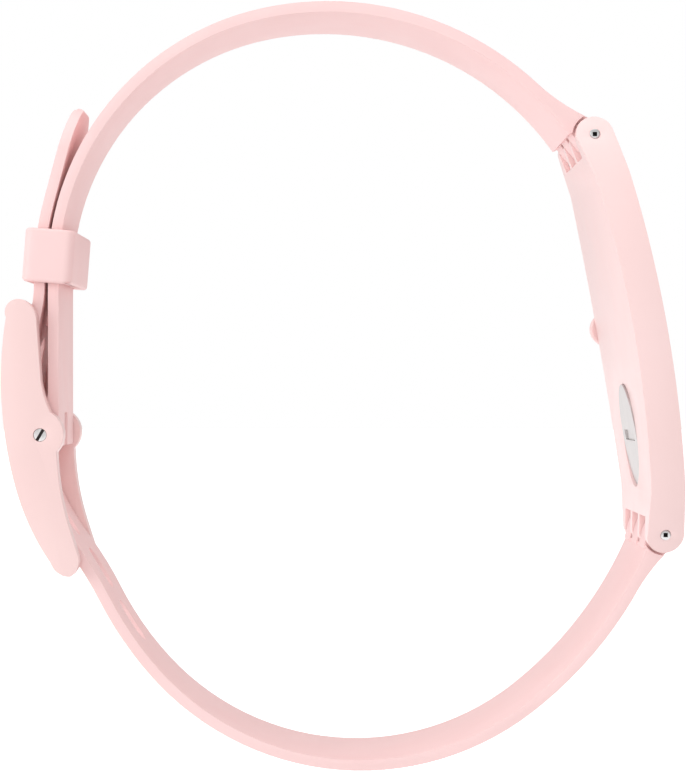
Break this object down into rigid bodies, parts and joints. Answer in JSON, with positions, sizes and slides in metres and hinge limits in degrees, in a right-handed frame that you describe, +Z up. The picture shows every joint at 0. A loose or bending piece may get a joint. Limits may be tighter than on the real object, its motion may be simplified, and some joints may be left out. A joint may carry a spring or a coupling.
{
  "type": "fitness tracker band",
  "caption": "Wearable fitness tracker: slim barrel-shaped case with a crystal display, side button and battery hatch, on a two-piece rubber strap closed by a pin buckle and keeper.",
  "frame": {"origin": "centre of the wrist opening", "axes": "+X out through the display side of the case, +Z up the case, +Y along the wrist towards the button side"},
  "size_m": [0.0692, 0.0326, 0.0785],
  "materials": {
    "case_plastic": "satin",
    "crystal": "gloss",
    "black_rubber": "matte",
    "display_glass": "gloss",
    "display_dark": "gloss",
    "white_film": "matte",
    "amber_film": "satin",
    "frame_plastic": "matte",
    "board_green": "satin",
    "chip_black": "matte",
    "steel": "satin",
    "ceramic_white": "matte",
    "brass": "satin",
    "strap_rubber": "satin",
    "buckle_plastic": "satin",
    "hatch_steel": "satin"
  },
  "bodies": {
    "band": {"case_shell": "case_plastic", "display_crystal": "crystal", "crystal_gasket": "black_rubber", "touch_film": "display_glass", "display_panel": "display_dark", "display_backlight": "white_film", "display_flex": "amber_film", "inner_frame": "frame_plastic", "main_board": "board_green", "processor_chip": "chip_black", "memory_chip": "chip_black", "radio_module": "steel", "motion_sensor": "chip_black", "timing_crystal": "steel", "antenna_strip": "ceramic_white", "board_passives": "ceramic_white", "board_screws": "steel", "piezo_buzzer": "brass", "battery_cell": "steel", "contact_negative": "steel", "contact_positive": "steel", "dome_switch": "steel", "button_bush": "black_rubber", "upper_pin": "steel", "lower_pin": "steel", "buckle_strap": "strap_rubber", "hole_strap": "strap_rubber"},
    "hatch": {"battery_hatch": "hatch_steel", "hatch_seal": "black_rubber"},
    "button": {"side_button": "case_plastic"},
    "keeper": {"keeper_loop": "strap_rubber"},
    "buckle": {"buckle_frame": "buckle_plastic", "buckle_pin": "steel"},
    "tongue": {"buckle_tongue": "buckle_plastic"}
  },
  "joints": [
    {"name": "battery_hatch_turn", "type": "hinge", "parent": "band", "child": "hatch", "pos_m": [0.03031, 0, -0.00509], "axis": [0.9848, 0, 0.1736], "range_deg": [0, 90]},
    {"name": "side_button_press", "type": "slide", "parent": "band", "child": "button", "axis": [0, -1, 0], "range_m": [0, 0.0004], "stiffness_N_per_m": 2500},
    {"name": "keeper_slide", "type": "slide", "parent": "band", "child": "keeper", "axis": [0.0785, 0, 0.9969], "range_m": [-0.0006, 0.0008]},
    {"name": "buckle_swing", "type": "hinge", "parent": "band", "child": "buckle", "pos_m": [-0.03098, 0, -0.00498], "axis": [0, 1, 0], "range_deg": [-0.6, 0.6]},
    {"name": "tongue_swing", "type": "hinge", "parent": "band", "child": "tongue", "pos_m": [-0.03098, 0, -0.00498], "axis": [0, 1, 0], "range_deg": [-0.3, 1.5]}
  ]
}
